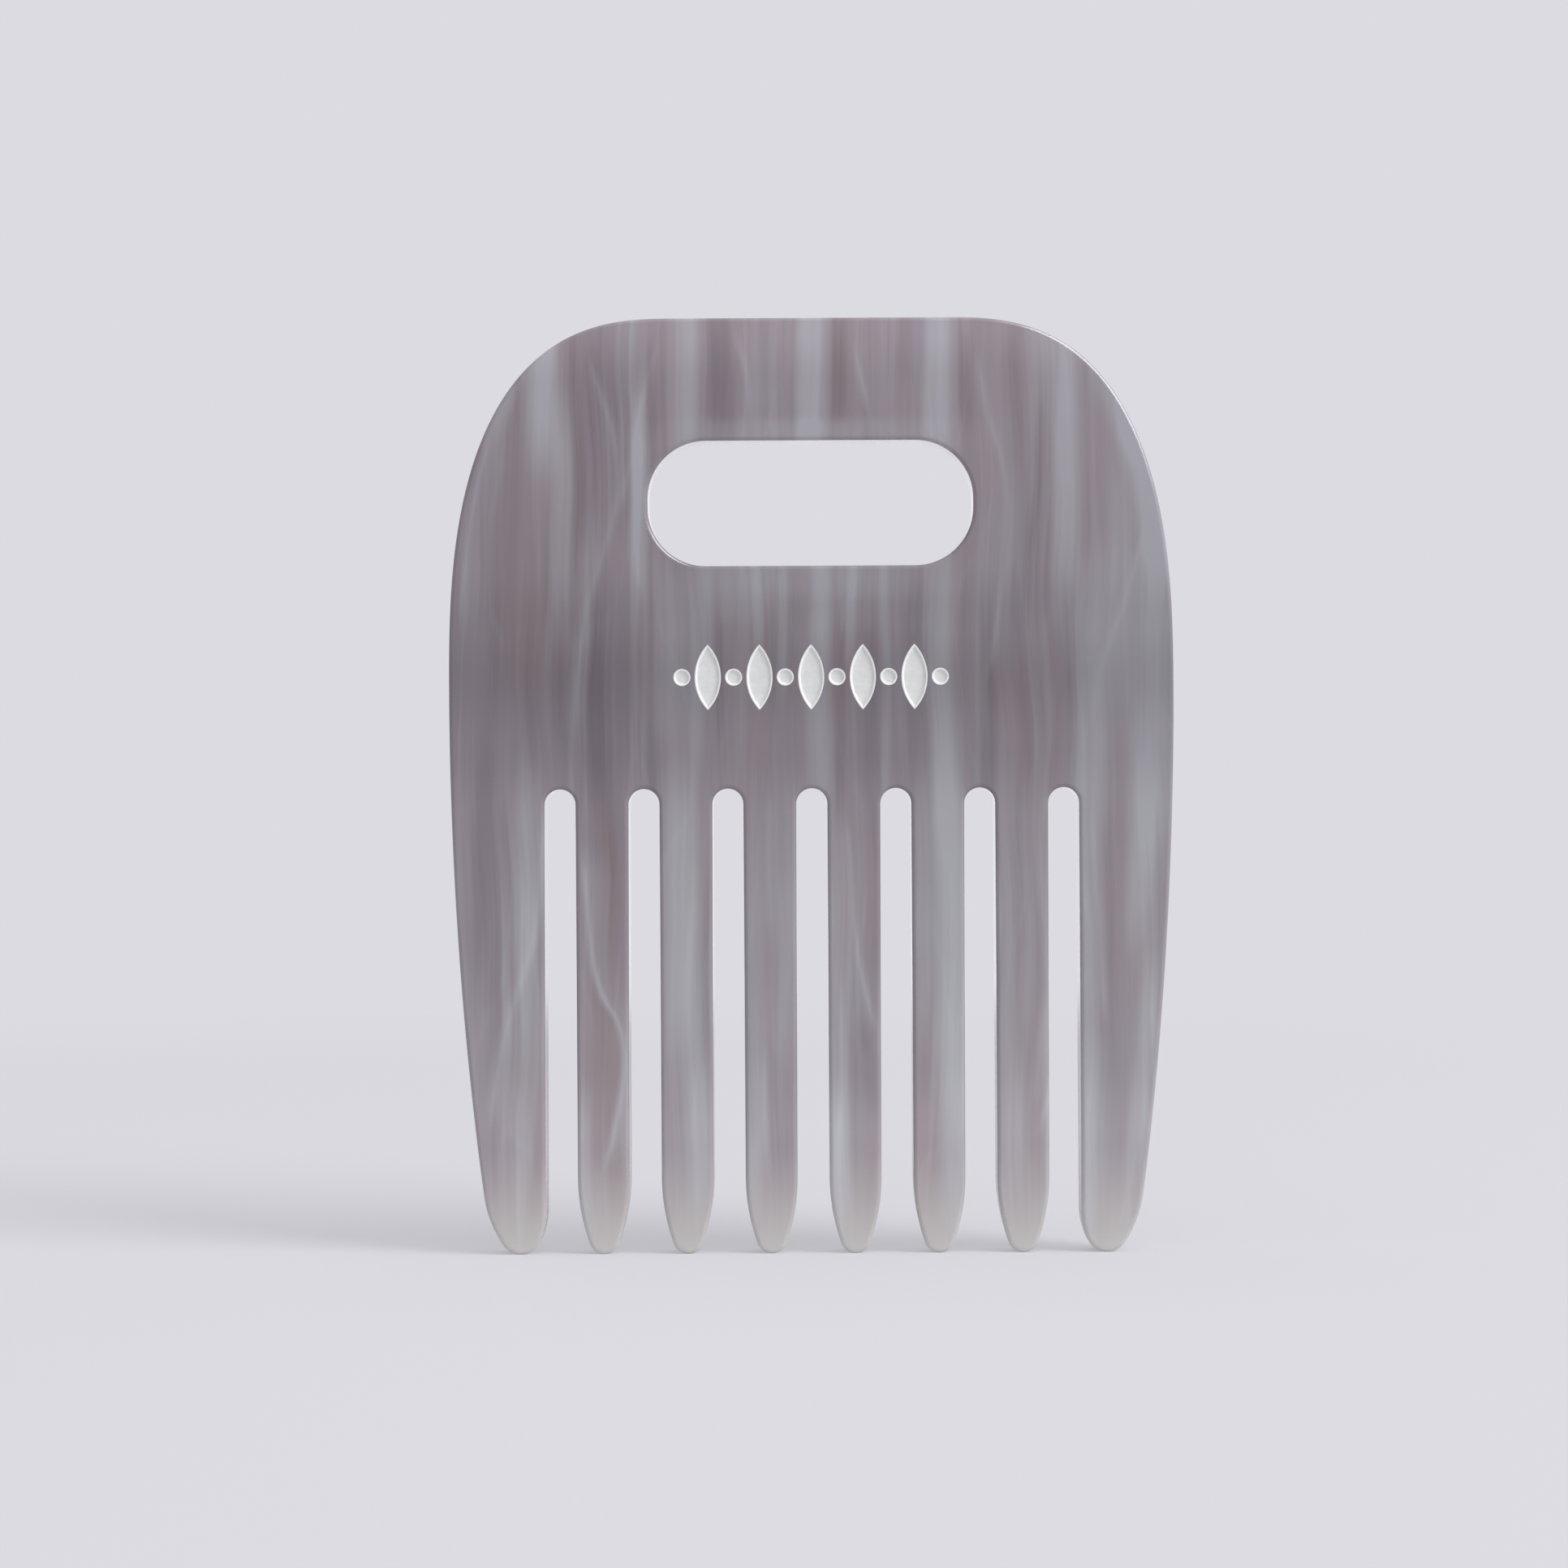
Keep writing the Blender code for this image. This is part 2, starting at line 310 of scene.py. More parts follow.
def sums(tree, operation, *values, clamp=False):
    node = tree.nodes.new("ShaderNodeMath")
    node.operation = operation
    node.use_clamp = clamp
    for socket, value in zip(node.inputs, values):
        plug(tree, value, socket)
    return node.outputs[0]


def centred(tree, value):  # from 0 to 1 becomes from -0.5 to 0.5
    return sums(tree, "SUBTRACT", value, 0.5)


def stretched(tree, place, scale):
    node = tree.nodes.new("ShaderNodeMapping")
    node.vector_type = "TEXTURE"
    plug(tree, place, node.inputs["Vector"])
    node.inputs["Scale"].default_value = scale
    return node.outputs["Vector"]


def noise(tree, place, size, detail, roughness):  # size is that of one blotch, in millimetres
    node = tree.nodes.new("ShaderNodeTexNoise")
    plug(tree, stretched(tree, place, size), node.inputs["Vector"])
    node.inputs["Scale"].default_value = 1
    node.inputs["Detail"].default_value = detail
    node.inputs["Roughness"].default_value = roughness
    return node.outputs


def ranged(tree, value, low, high, outLow=0.0, outHigh=1.0, smooth=True):
    node = tree.nodes.new("ShaderNodeMapRange")
    node.interpolation_type = "SMOOTHSTEP" if smooth else "LINEAR"
    given = {"Value": value, "From Min": low, "From Max": high, "To Min": outLow, "To Max": outHigh}
    for name, amount in given.items():
        plug(tree, amount, node.inputs[name])
    return node.outputs["Result"]


def blended(tree, share, first, second, mode="MIX"):
    node = tree.nodes.new("ShaderNodeMix")
    node.data_type = "RGBA"
    node.blend_type = mode
    plug(tree, share, node.inputs[0])
    for socket, colour in ((node.inputs[6], first), (node.inputs[7], second)):  # the sockets for colours
        plug(tree, colour if isinstance(colour, bpy.types.NodeSocket) else (*colour, 1), socket)
    return node.outputs[2]


def placeInMillimetres(tree):
    coordinates = tree.nodes.new("ShaderNodeTexCoord")
    node = tree.nodes.new("ShaderNodeVectorMath")
    node.operation = "SCALE"
    node.inputs["Scale"].default_value = metre
    tree.links.new(coordinates.outputs["Object"], node.inputs[0])
    return node.outputs[0]


def split(tree, place):
    node = tree.nodes.new("ShaderNodeSeparateXYZ")
    plug(tree, place, node.inputs[0])
    return node.outputs


def addBump(tree, shader, height, strength, depth):
    bump = tree.nodes.new("ShaderNodeBump")
    bump.inputs["Strength"].default_value = strength
    bump.inputs["Distance"].default_value = depth
    plug(tree, height, bump.inputs["Height"])
    plug(tree, bump.outputs["Normal"], shader.inputs["Normal"])


def newMaterial(name):
    material = bpy.data.materials.new(name)
    material.use_nodes = True
    return material, material.node_tree, material.node_tree.nodes["Principled BSDF"]


def newGroup(name, usual, made):  # usual holds each input and its usual value, made names the outputs
    group = bpy.data.node_groups.new(name, "ShaderNodeTree")
    for socketName, value in usual.items():
        socket = group.interface.new_socket(socketName, in_out="INPUT", socket_type="NodeSocketFloat")
        socket.default_value = value
    for socketName in made:
        group.interface.new_socket(socketName, in_out="OUTPUT", socket_type="NodeSocketFloat")
    return group, group.nodes.new("NodeGroupInput").outputs, group.nodes.new("NodeGroupOutput").inputs


def useGroup(tree, group, **given):
    node = tree.nodes.new("ShaderNodeGroup")
    node.node_tree = group
    for name, value in given.items():
        plug(tree, value, node.inputs[name])
    return node.outputs


acetate = {
    "mauve": (0.234, 0.203, 0.231), "rose": (0.244, 0.206, 0.228),  # the two middle shades
    "plum": (0.160, 0.132, 0.158), "umber": (0.176, 0.138, 0.152),  # the two dark shades
    "pale": (0.341, 0.336, 0.367),
    # the tips' colours are painted light, as light shining through the thinner ground tips, paler where pale
    # streaks run and weaker over dark ones
    "tip": (0.68, 0.66, 0.632), "tipPale": (0.69, 0.69, 0.69), "tipPaleFull": 1.1,
    "tipHeight": 12.0, "tipPower": 1.3, "tipOverDark": 0.75,
    "edgeGlow": (0.52, 0.50, 0.53), "edgeGlowFacing": (0.65, 0.1),  # the cut edge, which faces away from the front, painted paler as light glowing through the sheet's edge
    # how a streak or vein fades: the share left at its width or reach, and how suddenly it gets there
    "acrossLeft": 0.37, "acrossPower": 2.8, "alongLeft": 0.5, "alongPower": 4.0,
    "veilEdge": 0.25, "veilReach": 3.2, "veilShare": 0.7,  # the paler fold beside a vein
    "veinEnds": 5.0, "veinSkin": 0.5, "veinAtBack": 0.35,  # veins end softly, and weaken through the sheet
    "slant": 0.45, "streakDrift": 1.6, "threadDrift": 3.0,
    # patterns, as (size across, through and up, detail, roughness)
    "drift": ((9, 14, 26), 1, 0.5), "bands": ((3.2, 9, 60), 3, 0.55), "threads": ((0.8, 5, 70), 2, 0.6),
    "wisps": ((6.5, 9, 38), 1, 0.4), "warmth": ((8, 12, 34), 1, 0.5), "layers": ((12, 0.7, 12), 3, 0.6),
    "wear": ((2.5, 2.5, 5), 4, 0.6), "ripple": ((5, 5, 9), 2, 0.5),
    # how much of each shows, as (from, to, share at from, share at to)
    "bandsPale": (0.5, 0.78, 0, 0.5), "bandsDark": (0.5, 0.26, 0, 0.45), "wispsPale": (0, 0.03, 0.07, 0),
    "layersGlow": (0.3, 0.7, 0.21, 0.588), "threadShare": 0.62, "wearShare": 0.08,
    "warmFrom": 0.5, "warmTo": 0.66, "warmRise": 0.0012,  # warmer towards the top
    "gloss": (2, 14, 0.235, 0.13),  # roughness, from the ground tips up to the polished faces
    "rippleStrength": 0.25, "rippleDepth": 0.00002, "ior": 1.48,
    # tone up the sheet, as (height, share of full, share of green); partly painted light: the darker middle
    # is a painted dark reflection in the polished face, and the paler teeth are painted light through the
    # thinner tips
    "toneAndPaintedLight": [
        (0, 1.62, 1.03), (13, 1.62, 1.03), (22, 1.40, 1.03), (36, 1.28, 1.02), (48, 1.19, 1.01),
        (56, 1.02, 1.0), (64, 0.87, 1.0), (70, 0.98, 1.0), (77, 1.1, 1.0), (90, 1.17, 0.995),
        (96, 1.18, 0.995), (103, 1.46, 1.0),
    ],
}

# broad soft streaks, as (across, up, lean, width, reach, strength)
# about a hundred in all is the most that the material can hold: past that it renders black
paleStreaks = [
    (-29.8, 97, -0.05, 1.8, 9, 0.9), (-27.3, 82, 0.02, 1.2, 11, 0.5), (-13.2, 97, 0.02, 1.4, 9, 0.65),
    (0.2, 97, 0, 1.6, 9, 0.9), (14.2, 97, 0, 1.6, 9, 0.85), (-19.1, 83, 0, 0.9, 10, 0.35),
    (28.2, 88, 0, 1.6, 15, 0.85), (31.0, 61, 0.05, 2.2, 14, 0.75), (36.6, 86, -0.16, 1.5, 10, 0.85),
    (-15.4, 66, 0, 2.2, 8, 0.5), (-8.0, 73, 0, 4.0, 3, 0.35), (1.0, 60, 0, 1.3, 10, 0.6),
    (14.5, 60, 0, 1.5, 14, 0.65), (38.0, 62, 0, 2.0, 17, 0.85), (34.4, 74, -0.02, 1.5, 13, 0.5),
    (33.6, 95, -0.35, 1.7, 7, 0.6), (-33.8, 95, 0.35, 1.4, 5, 0.5), (-31.5, 43, 0.02, 1.5, 10, 0.45),
    (-14.4, 38, -0.01, 2.1, 15, 0.85), (-12.9, 13, 0, 1.5, 8, 0.55), (-2.4, 36, 0.05, 1.3, 14, 0.35),
    (-6.2, 30, 0, 1.2, 18, 0.32), (2.3, 26, 0, 0.9, 22, 0.4), (15.2, 35, 0, 1.9, 18, 0.95),
    (12.0, 38, 0, 1.0, 13, 0.4), (15.8, 12, 0, 1.3, 9, 0.45), (21.1, 28, 0, 1.1, 24, 0.45),
    (23.4, 38, 0, 1.0, 12, 0.3), (30.3, 24, 0, 1.1, 24, 0.38), (36.4, 44, 0.05, 1.5, 9, 0.6),
    (36.4, 20, 0.08, 1.3, 12, 0.55), (1.2, 73, 0, 1.0, 6, 0.5), (4.5, 71, 0.05, 0.5, 6, 0.45),
    (8.3, 71, -0.03, 0.5, 6, 0.45), (-11.5, 71, 0, 0.6, 6, 0.45), (-6.0, 72, 0, 0.5, 5, 0.4),
    (15.0, 73, 0, 1.2, 7, 0.2), (-12.7, 64, 0, 0.7, 10, 0.5), (-3.2, 69, 0, 0.6, 7, 0.5),
    (8.4, 58, 0.02, 0.5, 8, 0.4), (1.0, 90.3, 0, 15, 1.7, 0.42), (2.0, 75, 0, 13, 2.4, 0.3),
    (25.2, 22, 0.1, 0.9, 5, 0.3), (4.5, 72.5, 0, 4.0, 3.5, 0.3), (34.5, 58, 0, 1.6, 8, 0.25),
    (-4.6, 43, 0, 0.8, 7, 0.3), (2.6, 10, 0, 1.2, 7, 0.4), (22.6, 14, 0, 1.0, 7, 0.3),
    (31.0, 12, 0, 1.7, 10, 0.45), (-25.2, 10, 0, 1.1, 7, 0.45), (-6.8, 8, 0, 1.0, 5, 0.35),
]
darkStreaks = [
    (-25.2, 89, 0.02, 1.8, 10.5, 1.0), (-9.9, 97, 0, 1.2, 7, 0.7), (3.3, 97, 0.02, 0.9, 6, 0.6),
    (17.2, 96, 0, 0.9, 6, 0.6), (25.4, 83, 0.03, 1.5, 11, 1.0), (-23.8, 61, -0.02, 1.1, 12, 1.0),
    (-20.0, 62, 0, 2.4, 8, 0.5), (7.0, 60, 0, 2.0, 7, 0.35), (19.4, 59, 0.04, 1.2, 11, 0.6),
    (24.9, 60, 0, 1.8, 11, 0.3), (-33.8, 76, 0, 1.8, 16, 0.45), (-36.3, 44, 0.06, 1.2, 14, 0.55),
    (-34.6, 37, 0.04, 1.1, 13, 0.5), (-22.0, 38, 0, 1.6, 14, 0.5), (-11.7, 33, 0, 0.8, 9, 0.3),
    (7.2, 40, 0, 1.1, 10, 0.3), (6.2, 22, -0.08, 0.8, 6, 0.4), (12.6, 24, 0.06, 0.6, 6, 0.3),
    (9.6, 100.5, 0, 1.6, 3.5, 0.3), (20.5, 69, 0, 1.6, 7, 0.28), (-3.6, 68, 0, 1.5, 7, 0.45),
    (-23.4, 17, 0, 1.2, 8, 0.45), (-10.2, 60, 0, 0.5, 12, 0.65), (3.4, 60, 0.02, 0.5, 11, 0.65),
    (-30.6, 64, 0, 1.2, 9, 0.5), (11.6, 64, 0, 0.9, 10, 0.4), (-17.8, 55, 0, 0.6, 6, 0.4),
    (-26.9, 68, 0, 2.0, 11, 0.8), (-19.8, 91, 0, 3.0, 9, 0.8), (-23.3, 37, 0, 1.2, 10, 0.55),
    (5.0, 27, 0, 0.9, 9, 0.5), (22.5, 94, 0, 1.2, 8, 0.45), (-17.6, 89, 0, 1.4, 8, 0.45),
    (-17.8, 70, 0, 1.4, 7, 0.35), (-26.0, 60, 0, 1.3, 12, 0.3), (-31.0, 11, 0, 1.4, 8, 0.3),
    (-32.0, 25, 0, 1.2, 7, 0.4), (-21.6, 14, 0, 1.0, 8, 0.35), (-30.4, 38, 0, 0.9, 7, 0.75),
]

# veins, as (points up and across, width, strength, the side with the paler fold: 1 is the right)
veins = [
    ([(101, -24.9), (95, -23.0), (90, -21.6), (84, -21.3), (78, -22.8), (72, -24.6), (66, -25.4),
      (56, -25.7)], 0.5, 0.2, -1),
    ([(102, -15.6), (98, -17.6), (93, -18.9), (86, -20.4), (80, -22.4)], 0.5, 0.16, 1),
    ([(92, -18.7), (84, -19.3), (76, -19.2), (71, -17.9)], 0.6, 0.24, 1),
    ([(103, -9.0), (98, -7.4), (94, -6.9), (90, -6.9)], 0.5, 0.3, 1),
    ([(102, 4.4), (97, 5.3), (90, 6.9)], 0.4, 0.3, 1),
    ([(101, 18.1), (92, 19.7), (86, 21.2), (79, 21.7), (70, 20.8), (62, 19.2)], 0.5, 0.22, 1),
    ([(92, -35.0), (84, -37.2), (77, -38.4), (68, -39.0)], 0.4, 0.3, 1),
    ([(82, 37.2), (78, 36.2), (72, 34.6), (66, 32.6), (58, 31.0)], 0.5, 0.24, 1),
    ([(50, -29.6), (42, -30.2), (35, -31.0), (28, -33.2), (22, -34.8), (13, -35.7)], 0.6, 0.26, 1),
    ([(46, -25.6), (38, -24.9), (29, -23.3), (25.6, -21.5), (22, -20.8), (14, -21.7), (8, -23.2)],
     0.42, 0.4, 1),
    ([(50, 4.0), (42, 4.4), (36, 4.8), (29.5, 6.0), (23, 7.6)], 0.42, 0.3, -1),
    ([(24, -5.2), (16, -5.4), (8, -5.2)], 0.4, 0.22, -1),
    ([(27, 27.4), (20, 26.6), (12, 24.4)], 0.45, 0.3, 1),
    ([(50, 31.4), (42, 31.6), (34, 32.0), (24, 32.4)], 0.45, 0.26, -1),
]


def makeStreakGroup():  # one soft streak that leans as it runs up the sheet
    usual = {
        "Across": 0, "Up": 0, "AtAcross": 0, "AtUp": 0, "Lean": 0, "Width": 1, "Reach": 10, "Strength": 1,
    }
    group, given, out = newGroup("streak", usual, ["Mask"])
    rise = sums(group, "SUBTRACT", given["Up"], given["AtUp"])
    line = sums(group, "MULTIPLY_ADD", given["Lean"], rise, given["AtAcross"])
    off = sums(group, "DIVIDE", sums(group, "SUBTRACT", given["Across"], line), given["Width"])
    across = sums(group, "POWER", sums(group, "ABSOLUTE", off), acetate["acrossPower"])
    across = sums(group, "POWER", acetate["acrossLeft"], across)
    along = sums(group, "ABSOLUTE", sums(group, "DIVIDE", rise, given["Reach"]))
    along = sums(group, "POWER", along, acetate["alongPower"])
    along = sums(group, "POWER", acetate["alongLeft"], along)
    mask = sums(group, "MULTIPLY", sums(group, "MULTIPLY", across, along), given["Strength"])
    plug(group, mask, out["Mask"])
    return group


def addStreaks(tree, group, streaks, across, up):
    names = ("AtAcross", "AtUp", "Lean", "Width", "Reach", "Strength")
    total = 0.0
    for streak in streaks:
        mask = useGroup(tree, group, Across=across, Up=up, **dict(zip(names, streak)))["Mask"]
        total = sums(tree, "ADD", total, mask)
    return total


def makeVeinGroup():  # a thin pale line with a paler fold fading away from one side of it
    usual = {"Across": 0, "Line": 0, "Up": 0, "Low": 0, "High": 100, "Width": 1, "Strength": 1, "Side": 1}
    group, given, out = newGroup("vein", usual, ["Mask"])
    away = sums(group, "SUBTRACT", given["Across"], given["Line"])
    off = sums(group, "DIVIDE", away, given["Width"])
    line = sums(group, "POWER", acetate["acrossLeft"], sums(group, "MULTIPLY", off, off))
    beside = sums(group, "MULTIPLY", away, given["Side"])
    edge = ranged(group, beside, -acetate["veilEdge"], acetate["veilEdge"])
    fade = sums(group, "DIVIDE", beside, acetate["veilReach"])
    fade = sums(group, "POWER", acetate["acrossLeft"], sums(group, "MULTIPLY", fade, fade))
    veil = sums(group, "MULTIPLY", sums(group, "MULTIPLY", edge, fade), acetate["veilShare"])
    mask = sums(group, "MULTIPLY", sums(group, "ADD", line, veil), given["Strength"])
    overLow = sums(group, "ADD", given["Low"], acetate["veinEnds"])
    mask = sums(group, "MULTIPLY", mask, ranged(group, given["Up"], given["Low"], overLow))
    underHigh = sums(group, "SUBTRACT", given["High"], acetate["veinEnds"])
    mask = sums(group, "MULTIPLY", mask, ranged(group, given["Up"], given["High"], underHigh))
    plug(group, mask, out["Mask"])
    return group


def addVeins(tree, group, across, up):  # each vein's path is a curve of across over up
    total = 0.0
    share = sums(tree, "DIVIDE", up, plate["height"])
    for points, width, strength, side in veins:
        path = tree.nodes.new("ShaderNodeFloatCurve")
        plug(tree, share, path.inputs["Value"])
        curve = path.mapping.curves[0]
        while len(curve.points) < len(points):
            curve.points.new(0.5, 0.5)
        for point, (pointUp, pointAcross) in zip(curve.points, sorted(points)):
            point.location = (pointUp / plate["height"], pointAcross / plate["width"] + 0.5)
        path.mapping.update()
        line = sums(tree, "MULTIPLY", centred(tree, path.outputs[0]), plate["width"])
        given = {"Across": across, "Line": line, "Up": up, "Low": min(points)[0], "High": max(points)[0]}
        mask = useGroup(tree, group, **given, Width=width, Strength=strength, Side=side)["Mask"]
        total = sums(tree, "ADD", total, mask)
    return total


def addToneAndPaintedLight(tree, up):
    room = 2  # shares are halved in the ramp, whose colours stay under 1, and doubled after it
    node = tree.nodes.new("ShaderNodeValToRGB")
    plug(tree, sums(tree, "DIVIDE", up, plate["height"]), node.inputs["Fac"])
    ramp = node.color_ramp
    ramp.interpolation = "EASE"
    stops = acetate["toneAndPaintedLight"]
    while len(ramp.elements) < len(stops):
        ramp.elements.new(0.5)
    for element, (height, share, green) in zip(ramp.elements, stops):
        element.position = height / plate["height"]
        element.color = (share / room, share / room * green, share / room, 1)
    doubled = tree.nodes.new("ShaderNodeVectorMath")
    doubled.operation = "SCALE"
    doubled.inputs["Scale"].default_value = room
    plug(tree, node.outputs["Color"], doubled.inputs[0])
    return doubled.outputs[0]


def makeAcetate(streakGroup, veinGroup):
    material, tree, shader = newMaterial("marbledAcetate")
    place = placeInMillimetres(tree)
    across, through, up = split(tree, place)
    inwards = sums(tree, "ADD", through, plate["thickness"] / 2)  # how deep under the front face

    drift = noise(tree, place, *acetate["drift"])  # bends every streak a little
    pushed = tree.nodes.new("ShaderNodeVectorMath")
    pushed.operation = "MULTIPLY_ADD"
    plug(tree, drift["Color"], pushed.inputs[0])
    pushed.inputs[1].default_value = (acetate["threadDrift"], acetate["threadDrift"], 0)
    plug(tree, place, pushed.inputs[2])
    drifted = pushed.outputs[0]
    nudged = sums(tree, "MULTIPLY_ADD", centred(tree, drift["Fac"]), acetate["streakDrift"], across)
    slanted = sums(tree, "MULTIPLY_ADD", inwards, acetate["slant"], nudged)  # marbling leans as it goes in

    bands = noise(tree, drifted, *acetate["bands"])["Fac"]
    threads = centred(tree, noise(tree, drifted, *acetate["threads"])["Fac"])
    wisps = sums(tree, "ABSOLUTE", centred(tree, noise(tree, drifted, *acetate["wisps"])["Fac"]))
    veinShare = ranged(tree, inwards, acetate["veinSkin"], plate["thickness"], 1, acetate["veinAtBack"])
    pale = addStreaks(tree, streakGroup, paleStreaks, slanted, up)
    pale = sums(tree, "MULTIPLY_ADD", addVeins(tree, veinGroup, slanted, up), veinShare, pale)
    pale = sums(tree, "ADD", pale, ranged(tree, bands, *acetate["bandsPale"]))
    pale = sums(tree, "ADD", pale, ranged(tree, wisps, *acetate["wispsPale"]))
    pale = sums(tree, "MULTIPLY_ADD", threads, acetate["threadShare"], pale, clamp=True)
    dark = addStreaks(tree, streakGroup, darkStreaks, slanted, up)
    dark = sums(tree, "ADD", dark, ranged(tree, bands, *acetate["bandsDark"]), clamp=True)

    warmth = noise(tree, drifted, *acetate["warmth"])["Fac"]
    warmth = sums(tree, "MULTIPLY_ADD", up, acetate["warmRise"], warmth)
    warmth = ranged(tree, warmth, acetate["warmFrom"], acetate["warmTo"])
    middleColour = blended(tree, warmth, acetate["mauve"], acetate["rose"])
    darkColour = blended(tree, warmth, acetate["plum"], acetate["umber"])
    colour = blended(tree, dark, middleColour, darkColour)
    colour = blended(tree, pale, colour, acetate["pale"])
    # the tone up the sheet, with a painted dark reflection across the middle and painted light in the teeth
    colour = blended(tree, 1.0, colour, addToneAndPaintedLight(tree, up), "MULTIPLY")

    # painted light through the thinner tips, strongest at their ends and weaker over dark streaks
    tipShare = ranged(tree, up, 0, acetate["tipHeight"], 1, 0, smooth=False)
    tipShare = sums(tree, "POWER", tipShare, acetate["tipPower"])
    tipShare = sums(tree, "MULTIPLY", tipShare, ranged(tree, dark, 0, 1, 1, acetate["tipOverDark"]))
    tipPale = ranged(tree, pale, 0, acetate["tipPaleFull"])
    colour = blended(tree, tipShare, colour, blended(tree, tipPale, acetate["tip"], acetate["tipPale"]))

    # painted light: the cut edge and the outer rims paler, as light glowing through the sheet's edge
    normal = split(tree, tree.nodes.new("ShaderNodeNewGeometry").outputs["Normal"])
    edgeGlow = ranged(tree, sums(tree, "ABSOLUTE", normal[1]), *acetate["edgeGlowFacing"])
    layers = noise(tree, place, *acetate["layers"])["Fac"]  # thin layers vary the painted glow in the cut edge
    edgeGlow = sums(tree, "MULTIPLY", edgeGlow, ranged(tree, layers, *acetate["layersGlow"]))
    plug(tree, blended(tree, edgeGlow, colour, acetate["edgeGlow"]), shader.inputs["Base Color"])

    wear = centred(tree, noise(tree, place, *acetate["wear"])["Fac"])
    gloss = ranged(tree, up, *acetate["gloss"])
    plug(tree, sums(tree, "MULTIPLY_ADD", wear, acetate["wearShare"], gloss), shader.inputs["Roughness"])
    ripple = noise(tree, place, *acetate["ripple"])["Fac"]
    addBump(tree, shader, ripple, acetate["rippleStrength"], acetate["rippleDepth"])
    shader.inputs["IOR"].default_value = acetate["ior"]
    return material


enamel = {
    # the dish's floor is painted greyer as shade, and its edge whiter as a painted highlight
    "edge": (0.965, 0.965, 0.96), "floor": (0.80, 0.81, 0.805), "shadedFloorDull": (0.76, 0.7695, 0.76475),
    "slopeLow": 0.9, "slopeHigh": 0.3,  # shares of the dish's depth, between which the floor's painted shade turns to the edge's painted highlight
    # patterns, and how much of each shows, as for the acetate
    "mottle": ((0.7, 0.7, 0.9), 3, 0.6), "dull": (0.35, 0.7), "gloss": (0.3, 0.7, 0.36, 0.48),
    "grain": ((0.35, 0.35, 0.35), 3, 0.6),
    "grainStrength": 0.4, "grainDepth": 0.00003,
}


def makeEnamel():
    material, tree, shader = newMaterial("whiteEnamel")
    place = placeInMillimetres(tree)
    through = split(tree, place)[1]
    lip = -plate["thickness"] / 2 + band["fillSunk"]
    low, high = lip + band["fillDish"] * enamel["slopeLow"], lip + band["fillDish"] * enamel["slopeHigh"]
    mottle = noise(tree, place, *enamel["mottle"])["Fac"]
    shadedFloorColour = blended(tree, ranged(tree, mottle, *enamel["dull"]), enamel["floor"], enamel["shadedFloorDull"])
    # painted shade on the dish's floor, turning to a painted highlight up its slope to the edge
    colour = blended(tree, ranged(tree, through, low, high), shadedFloorColour, enamel["edge"])
    plug(tree, colour, shader.inputs["Base Color"])
    plug(tree, ranged(tree, mottle, *enamel["gloss"]), shader.inputs["Roughness"])
    grain = noise(tree, place, *enamel["grain"])["Fac"]
    addBump(tree, shader, grain, enamel["grainStrength"], enamel["grainDepth"])
    return material


studio = {  # metres and degrees, but the lens and the ranges of the floor are in millimetres
    "backdrop": (0.716, 0.708, 0.753), "floor": (0.716, 0.708, 0.753), "floorSize": 4.0,
    "floorPlain": 0.5,  # share of the floor that shows the backdrop's own colour, and all of it further off
    "plainFrom": 220, "plainTo": 420,
    "skyPlain": 0.07,  # the sky's light all over, and then by direction, with how tightly it gathers there
    "skyAbove": 2.1, "aboveTight": 8, "skyFront": 0.75, "frontTight": 4, "skySides": 0.7, "sidesTight": 4,
    "keyPower": 59.0, "keySize": 1.65, "keyDistance": 3.0, "keyAround": 26.0, "keyUp": 37.0,
    "cardAround": 33.0, "cardUp": 43.0,  # the soft box, as polished edges mirror it
    "cardLight": 15.0, "cardInner": 0.955, "cardOuter": 0.86,
    "rearCard": 0.6,  # the backdrop's extra glow in the polished walls
    "rearOuter": 0.6, "rearInner": 0.9, "rearFrom": 250, "rearTo": 500,  # its edges in sky and floor
    "cameraAway": 0.3525, "cameraUp": 0.0517, "cameraNear": 0.01, "roll": 0.28,
    "lens": 72.9, "sensor": 36, "shiftX": -0.0177, "shiftY": 0.00104,  # the shift is a share of the frame
}


def towards(name):  # the direction of a light, from its angles
    around, up = math.radians(studio[name + "Around"]), math.radians(studio[name + "Up"])
    return Vector((math.cos(around) * math.cos(up), -math.sin(around) * math.cos(up), math.sin(up)))


def makeCamera():
    data = bpy.data.cameras.new("camera")
    data.lens = studio["lens"]
    data.sensor_width = studio["sensor"]
    data.shift_x = studio["shiftX"]
    data.shift_y = studio["shiftY"]
    data.clip_start = studio["cameraNear"]
    camera = bpy.data.objects.new("camera", data)
    camera.location = (0, -studio["cameraAway"], studio["cameraUp"])
    camera.rotation_euler = (math.pi / 2, math.radians(studio["roll"]), 0)
    scene.collection.objects.link(camera)
    scene.camera = camera


def makeKeyLight():
    data = bpy.data.lights.new("key", "AREA")
    data.shape = "DISK"
    data.size = studio["keySize"]
    data.energy = studio["keyPower"]
    light = bpy.data.objects.new("key", data)
    middle = Vector((0, 0, plate["height"] / 2 / metre))
    light.location = towards("key") * studio["keyDistance"] + middle
    light.rotation_euler = towards("key").to_track_quat("Z", "Y").to_euler()
    light.visible_glossy = False  # the soft box stands for it in reflections
    scene.collection.objects.link(light)


def seenDirectly(tree):  # by the camera, or mirrored or refracted by the object
    path = tree.nodes.new("ShaderNodeLightPath").outputs
    seen = sums(tree, "ADD", path["Is Camera Ray"], path["Is Glossy Ray"])
    return sums(tree, "ADD", seen, path["Is Transmission Ray"], clamp=True)


